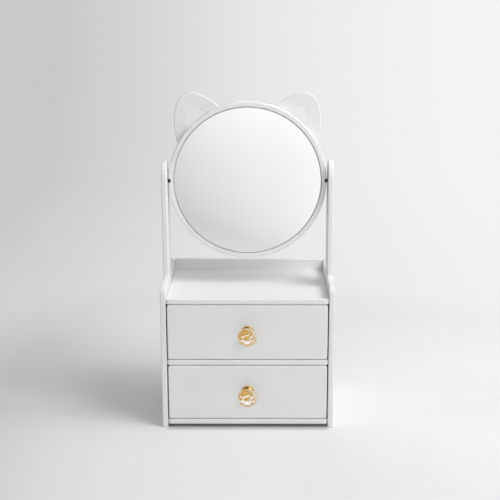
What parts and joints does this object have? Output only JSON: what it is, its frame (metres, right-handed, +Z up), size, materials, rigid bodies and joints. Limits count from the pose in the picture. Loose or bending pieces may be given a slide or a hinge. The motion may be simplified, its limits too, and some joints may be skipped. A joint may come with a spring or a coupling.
{
  "type": "vanity mirror with drawer",
  "caption": "Table-top vanity chest with shallow drawers, faceted crystal knobs and a round tilting mirror with cut-out cat ears between two round-topped posts.",
  "frame": {"origin": "centre of the bounding box at the surface that the object stands on", "axes": "+Z up, -Y towards the user and the drawer knobs, +X to the user's right"},
  "size_m": [0.27, 0.226, 0.5203],
  "materials": {
    "white_board": "satin white paint on MDF",
    "thin_board": "white laminated hardboard",
    "dowel_wood": "bare beech",
    "screw_steel": "zinc plated",
    "pivot_steel": "nickel plated",
    "insert_brass": "turned",
    "black_nylon": "moulded",
    "gold": "polished gold plate",
    "crystal": "clear, cut in flat facets",
    "mirror": "silvered glass",
    "foam_tape": "double-sided foam"
  },
  "bodies": {
    "carcass": {"left_side_panel": "white_board", "right_side_panel": "white_board", "bottom_board": "white_board", "middle_shelf": "white_board", "top_shelf": "white_board", "back_rail": "white_board", "back_panel": "thin_board", "carcass_screws": "screw_steel", "back_panel_screws": "screw_steel"},
    "lower_drawer": {"lower_drawer_front": "white_board", "lower_drawer_left_side": "white_board", "lower_drawer_right_side": "white_board", "lower_drawer_back": "white_board", "lower_drawer_bottom": "thin_board", "lower_drawer_dowels": "dowel_wood", "lower_drawer_screws": "screw_steel", "lower_knob_base": "gold", "lower_knob_crystal": "crystal", "lower_knob_screw": "screw_steel"},
    "upper_drawer": {"upper_drawer_front": "white_board", "upper_drawer_left_side": "white_board", "upper_drawer_right_side": "white_board", "upper_drawer_back": "white_board", "upper_drawer_bottom": "thin_board", "upper_drawer_dowels": "dowel_wood", "upper_drawer_screws": "screw_steel", "upper_knob_base": "gold", "upper_knob_crystal": "crystal", "upper_knob_screw": "screw_steel"},
    "mirror": {"mirror_disc": "white_board", "mirror_glass": "mirror", "mirror_tape": "foam_tape", "ear_plate": "white_board", "ear_plate_screws": "screw_steel", "left_pivot_bolt": "pivot_steel", "left_pivot_bush": "black_nylon", "left_pivot_insert": "insert_brass", "right_pivot_bolt": "pivot_steel", "right_pivot_bush": "black_nylon", "right_pivot_insert": "insert_brass"}
  },
  "joints": [
    {"name": "mirror_tilt", "type": "hinge", "parent": "carcass", "child": "mirror", "pos_m": [0, 0.0101, 0.3825], "axis": [1, 0, 0], "continuous": true},
    {"name": "lower_drawer_slide", "type": "slide", "parent": "carcass", "child": "lower_drawer", "axis": [0, -1, 0], "range_m": [0, 0.15]},
    {"name": "upper_drawer_slide", "type": "slide", "parent": "carcass", "child": "upper_drawer", "axis": [0, -1, 0], "range_m": [0, 0.15]}
  ]
}
